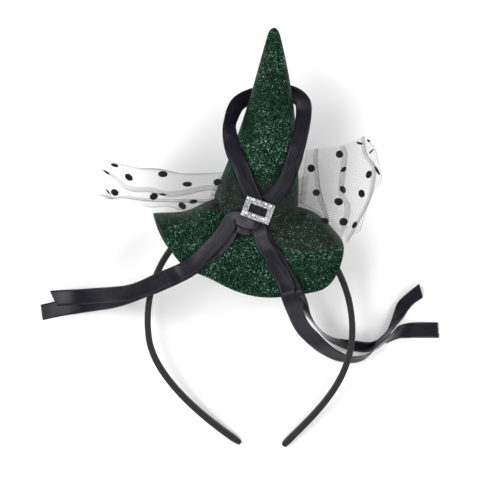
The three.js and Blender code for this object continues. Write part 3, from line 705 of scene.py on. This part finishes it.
# %% A pleated sheet of net
def pleated_net(name, finish, guides, size, folds, steps=(64, 44), puff=0.0016, crumple=0.0011):
    """guides: lines of points from one edge of the net to the other. folds: (share across, strength)."""
    bm = cloth_grid(
        steps[0], steps[1], size,
        lambda a, c: between([between(line, a) for line in guides], c),
    )
    bm.normal_update()
    crease = bm.verts.layers.float.new("crease")
    for i, point in enumerate(bm.verts):
        a, c = (i % (steps[0] + 1)) / steps[0], (i // (steps[0] + 1)) / steps[1]
        wrinkle = noise.noise(point.co * 70) + 0.6 * noise.noise(point.co * 160)
        point.co.z += crumple * wrinkle + puff * math.sin(math.pi * c) * math.sin(math.pi * min(a * 1.3, 1))
        for share, strength, width in folds:
            fade = 0.35 + 0.65 * abs(noise.noise(Vector((a * 5, share * 9, 1.3)))) ** 0.5
            point[crease] = max(point[crease], strength * fade * max(1 - abs(c - share) / width, 0))
    area = sum(face.calc_area() for face in bm.faces)
    made = finished(bm, name, finish)
    print(name, "net area", round(area * 1e4, 1), "cm2 from a cut of", size)
    return made


# %% The left puff
LEFT_GUIDES = [
    [mm(-8.3, 42.5, 68), mm(-21.7, 41.8, 68), mm(-36.2, 41.8, 67), mm(-50.2, 44.7, 66),
     mm(-62.9, 45.3, 64.5), mm(-74.3, 47.9, 62.5), mm(-85.1, 50.7, 60.5), mm(-92.7, 53.2, 59)],
    [mm(-8.3, 30.4, 69), mm(-19.8, 31.1, 69), mm(-32.4, 28.5, 68.5), mm(-43.9, 27.3, 67.5), mm(-56.5, 30.1, 66),
     mm(-69.2, 31.1, 64), mm(-80.6, 39.9, 61.5), mm(-92.0, 48.2, 59.5)],
    [mm(-8.3, 33.6, 66), mm(-19.8, 34.2, 66), mm(-32.4, 31.7, 65), mm(-43.9, 30.4, 64), mm(-56.5, 33.0, 62.5),
     mm(-69.2, 34.2, 60.5), mm(-80.6, 41.8, 58), mm(-88.9, 43.1, 57)],
    [mm(-8.3, 23.4, 68), mm(-21.0, 23.4, 68), mm(-32.4, 23.4, 67), mm(-45.1, 23.8, 66), mm(-59.1, 24.4, 64.5),
     mm(-73.0, 26.3, 62), mm(-80.6, 26.0, 60), mm(-88.2, 28.5, 58)],
    [mm(-8.3, 25.4, 65.5), mm(-21.0, 25.4, 65.5), mm(-32.4, 25.4, 64.5), mm(-45.1, 25.7, 63.5),
     mm(-59.1, 26.3, 62), mm(-71.8, 27.9, 59.5), mm(-79.4, 27.9, 57.5), mm(-86.3, 30.4, 56)],
    [mm(-10.9, 23.4, 66.5), mm(-21.0, 22.2, 66.5), mm(-33.1, 18.4, 65), mm(-45.1, 20.9, 64),
     mm(-55.9, 20.3, 62.5), mm(-64.1, 23.4, 60.5), mm(-73.0, 25.4, 58.5), mm(-83.2, 25.4, 56.5)],
]
left_puff = pleated_net(
    "tulle_puff_left", net_single, LEFT_GUIDES, (0.088, 0.046),
    [(0.2, 0.6, 0.025), (0.4, 0.35, 0.02), (0.6, 0.95, 0.03), (0.8, 0.7, 0.025),
     (0.0, 0.9, 0.03), (1.0, 0.9, 0.03)],
)
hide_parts("tulle_left_wing")

# %% The right puff
RIGHT_GUIDES = [
    [mm(42.4, 56.4, 54), mm(41.7, 50.7, 54.5), mm(41.1, 44.4, 55), mm(39.8, 38.0, 55.5), mm(39.2, 31.7, 56),
     mm(37.9, 24.1, 56.5)],
    [mm(50.0, 57.7, 57.5), mm(49.3, 50.7, 58), mm(50.2, 40.6, 58.5), mm(51.2, 32.3, 59), mm(53.5, 23.8, 59),
     mm(56.3, 12.7, 58)],
    [mm(48.1, 57.1, 54.5), mm(47.4, 50.1, 55), mm(48.1, 40.6, 55), mm(49.0, 32.3, 55), mm(50.6, 24.1, 55.5),
     mm(54.4, 14.3, 55.5)],
    [mm(65.8, 59.3, 56.5), mm(67.7, 53.9, 57), mm(66.5, 41.2, 58), mm(65.8, 29.8, 58), mm(69.6, 20.9, 57.5),
     mm(67.1, 7.0, 56)],
    [mm(63.9, 59.0, 54), mm(65.2, 53.2, 54), mm(63.9, 40.6, 54.5), mm(63.3, 29.8, 54.5), mm(66.5, 21.5, 54.5),
     mm(65.2, 7.6, 53.5)],
    [mm(78.5, 65.3, 55), mm(80.4, 53.9, 55.5), mm(85.5, 45.6, 56), mm(84.2, 31.7, 56), mm(80.4, 20.9, 55),
     mm(68.4, -1.9, 53)],
    [mm(76.6, 64.0, 52), mm(78.5, 53.2, 52.5), mm(83.6, 45.6, 53), mm(82.3, 31.7, 53), mm(78.5, 20.9, 52.5),
     mm(67.7, 0.0, 51)],
    [mm(82.3, 62.1, 52.5), mm(86.1, 57.1, 53), mm(88.7, 45.6, 53.5), mm(89.9, 37.4, 53.5), mm(82.9, 26.0, 53),
     mm(76.6, 5.7, 51.5)],
]
right_puff = pleated_net(
    "tulle_puff_right", net_single, RIGHT_GUIDES, (0.058, 0.062),
    [(0.143, 0.95, 0.02), (0.286, 0.3, 0.015), (0.43, 0.35, 0.016), (0.57, 0.2, 0.015), (0.714, 0.75, 0.018),
     (0.857, 0.35, 0.015), (1.0, 0.8, 0.02), (0.0, 0.6, 0.02)],
    steps=(56, 60),
)
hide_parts("tulle_right_wing")


# %% [markdown]
# Over the cone's foot and the brim the same net lies on the hat. It is laid there by dropping a flat
# grid straight down. Each point stops a little above the surface below it, evened out over its near
# neighbours, so that the net bridges small steps.

# %% Net laid on the hat
def surface_of(*pieces):
    bpy.context.view_layer.update()
    ready = bpy.context.evaluated_depsgraph_get()
    trees = [BVHTree.FromObject(piece, ready) for piece in pieces]

    def drop(x, y, otherwise):
        hits = [tree.ray_cast(Vector((x, y, 0.2)), Vector((0, 0, -1)))[0] for tree in trees]
        tops = [hit.z for hit in hits if hit]
        return max(tops) if tops else otherwise

    return drop


hat_top = surface_of(brim, cone)
NET_SPAN = 0.002                    # how far the net evens out the surface below it


def laid_net(name, upper, lower, size, lift, otherwise, folds, steps=(44, 22)):
    def place(a, c):
        spot = between(upper, a).lerp(between(lower, a), c)
        steps_aside = (-NET_SPAN, 0, NET_SPAN)
        reach = [hat_top(spot.x + dx, spot.y + dy, otherwise) for dx in steps_aside for dy in steps_aside]
        spot.z = sum(reach) / 9 * 0.6 + max(reach) * 0.4 + lift + 0.0006 * noise.noise(spot * 120)
        return spot

    return pleated_net(name, net_gathered, [[place(k / 24, c / 12) for k in range(25)] for c in range(13)],
                       size, folds, steps, puff=0.0, crumple=0.0003)


band_net = laid_net(
    "tulle_across_cone",
    [mm(-12.5, 40.6), mm(0.5, 39.3), mm(14.5, 37.4), mm(29.1, 37.4), mm(44, 40.6)],
    [mm(-21.0, 21.5), mm(-4.5, 16.5), mm(14.5, 13.3), mm(29.1, 19.0), mm(41.8, 23.4)],
    (0.070, 0.024), 0.0012, 0.056, [(0.3, 0.3, 0.05), (0.62, 0.4, 0.05), (0.86, 0.3, 0.04)],
)
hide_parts("tulle_band")
swag_net = laid_net(
    "tulle_over_brim",
    [mm(20.8, 27.3), mm(32.2, 26.0), mm(41.7, 22.8), mm(54.4, 15.2), mm(67.1, 7.6)],
    [mm(14.5, 5.1), mm(22.7, -3.2), mm(35.4, -8.3), mm(50.0, -7.6), mm(63.9, -1.9)],
    (0.056, 0.030), 0.0012, 0.052, [(0.25, 0.3, 0.04), (0.55, 0.35, 0.03), (0.97, 0.3, 0.04)],
)
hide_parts("tulle_swag")

# %% [markdown]
# ## Flocked dots
# The dots are printed in glue on the net and covered in short black fibre, so they stand a little
# proud. Each is a small disc laid on the net: a circle is drawn, every point of it drops onto the
# sheet, and the face is extruded to give it thickness. Where the net tilts the dot looks narrower.

# %% Dots on each sheet of net
DOT = 2.55                          # radius in millimetres


def dots(name, sheets, spots, otherwise):
    drop = surface_of(*sheets)
    bm = bmesh.new()
    for x, y, long, short, angle in spots:
        ring = bmesh.ops.create_circle(bm, cap_ends=True, segments=18, radius=DOT / 1000)
        turn = Matrix.Rotation(math.radians(angle), 4, "Z") @ Matrix.Diagonal((long, short, 1, 1))
        bmesh.ops.transform(bm, verts=ring["verts"], matrix=Matrix.Translation(mm(x, y)) @ turn)
        for point in ring["verts"]:
            wave = Vector((noise.noise(point.co * 900), noise.noise(point.co * 900 + Vector((5, 0, 0))), 0))
            point.co += wave * 0.00022
            point.co.z = drop(point.co.x, point.co.y, otherwise) + 0.00025
        level = sum(point.co.z for point in ring["verts"]) / 18
        for point in ring["verts"]:
            point.co.z = max(min(point.co.z, level + 0.0012), level - 0.0012)
    made = finished(bm, name, flock)
    return thicken(made, 0.0004, 1.0)


left_dots = dots("dots_left", [left_puff], [
    (-78.1, 46.9, 1.0, 0.42, -20), (-83.2, 42.5, 0.95, 0.22, -35), (-69.2, 39.3, 1.1, 0.75, -38),
    (-47.7, 41.2, 1.18, 0.78, 0), (-32.4, 34.9, 1.18, 0.6, 0), (-13.4, 36.1, 1.05, 0.8, 5),
    (-78.1, 29.8, 1.0, 0.8, -30), (-82.2, 30.2, 0.95, 0.2, -52), (-53.4, 27.3, 1.05, 0.85, 25),
    (-47.7, 28.5, 0.95, 0.25, -5), (-35.6, 21.5, 1.05, 0.75, -38), (-28.6, 24.1, 1.0, 0.5, 8),
], 0.062)
right_dots = dots("dots_right", [right_puff], [
    (63.3, 53.9, 0.92, 0.92, 0), (45.5, 45.0, 0.9, 0.95, 0), (65.8, 44.4, 0.85, 0.5, 45),
    (48.7, 29.8, 0.92, 0.85, 0), (65.2, 31.7, 0.95, 0.68, -62), (62.7, 24.1, 1.1, 0.92, -20),
    (65.8, 11.4, 1.05, 0.98, 0), (81.7, 41.2, 1.0, 0.72, 65), (77.2, 29.2, 1.0, 0.8, -75),
    (76.0, 60.9, 0.85, 0.3, -15), (81.7, 62.6, 0.45, 0.2, -30), (83.4, 55.8, 0.8, 0.2, 48),
    (87.0, 43.6, 1.2, 0.3, -60), (72.8, 9.5, 0.95, 0.5, 60),
], 0.055)
hat_dots = dots("dots_on_hat", [band_net, swag_net], [
    (-15.4, 23.4, 1.2, 0.95, 15), (40.5, 16.5, 1.0, 0.9, 0), (54.0, 11.9, 1.1, 0.85, -15),
    (57.6, 1.3, 1.1, 0.8, -15), (29.5, 1.5, 1.1, 0.6, -10), (2.5, 28.0, 1.0, 0.6, 30),
    (24.5, 27.5, 1.0, 0.7, -30),
], 0.055)

# %% [markdown]
# ## Buckle
# The buckle is a stamped metal rectangle with two rows of small foiled stones glued all round. The CAD
# model gives its place and tilt. One stone is a short cone with eight facets and a flat table on top;
# it is copied along the rows.

# %% The stones
BUCKLE_LENGTH, BUCKLE_HEIGHT, BUCKLE_RIM = 0.0186, 0.0129, 0.0037
STONE_PITCH = 0.00172
STONE_TILT = 0.16                   # radians, as glued by hand
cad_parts["buckle_frame"].data.materials.clear()
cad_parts["buckle_frame"].data.materials.append(silver)
buckle_place = (
    Matrix.Translation(BUCKLE_CENTRE)
    @ Matrix.Rotation(math.radians(9), 4, "X")
    @ Matrix.Rotation(math.radians(-20), 4, "Z")
)


def stone_row(inset):
    length, height = BUCKLE_LENGTH - 2 * inset, BUCKLE_HEIGHT - 2 * inset
    corners = [Vector((-length / 2, -height / 2, 0)), Vector((length / 2, -height / 2, 0)),
               Vector((length / 2, height / 2, 0)), Vector((-length / 2, height / 2, 0))]
    for start, end in zip(corners, corners[1:] + corners[:1]):
        count = round((end - start).length / STONE_PITCH)
        for k in range(count):
            yield start.lerp(end, k / count)


bm = bmesh.new()
stone_places = [*stone_row(STONE_PITCH / 2 + 0.0001), *stone_row(BUCKLE_RIM - STONE_PITCH / 2 - 0.0001)]
for spot in stone_places:
    cut = bmesh.ops.create_cone(bm, cap_ends=True, segments=8, radius1=0.00078, radius2=0.00042, depth=0.0007)
    tilt = Matrix.Rotation(chance.uniform(-STONE_TILT, STONE_TILT), 4, "X")
    tilt = tilt @ Matrix.Rotation(chance.uniform(-STONE_TILT, STONE_TILT), 4, "Y")
    spin = Matrix.Rotation(chance.uniform(0, 0.8), 4, "Z")
    place = buckle_place @ Matrix.Translation(spot + Vector((0, 0, 0.00128))) @ tilt @ spin
    bmesh.ops.transform(bm, verts=cut["verts"], matrix=place)
stones = finished(bm, "buckle_gems", stone, smooth=False)
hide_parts("buckle_stones")
print("stones", len(stone_places))

# %% [markdown]
# ## What each cloth was cut to
# Flat, the ribbons are 10 mm wide, the brim is an oval, and the cone is part of a disc.

# %% [markdown]
# ## The table
# A pale floor catches soft shadows. It belongs to the stage and not to the hat.

# %% The floor
bm = bmesh.new()
bmesh.ops.create_grid(bm, x_segments=1, y_segments=1, size=3)
floor_mesh = bpy.data.meshes.new("table_top")
bm.to_mesh(floor_mesh)
bm.free()
table = bpy.data.objects.new("table_top", floor_mesh)
bpy.context.scene.collection.objects.link(table)
pale, tree, bsdf = material("pale_table", Roughness=0.9, Specular_IOR_Level=0.1)
cloth = use_group(tree, handled, Size=6.0, Fine_size=300.0)
tree.links.new(ramp(tree, cloth.outputs["Slow"], (0.3, (0.9, 0.9, 0.9)), (0.7, (0.93, 0.93, 0.93))),
               bsdf.inputs["Base Color"])
floor_mesh.materials.append(pale)
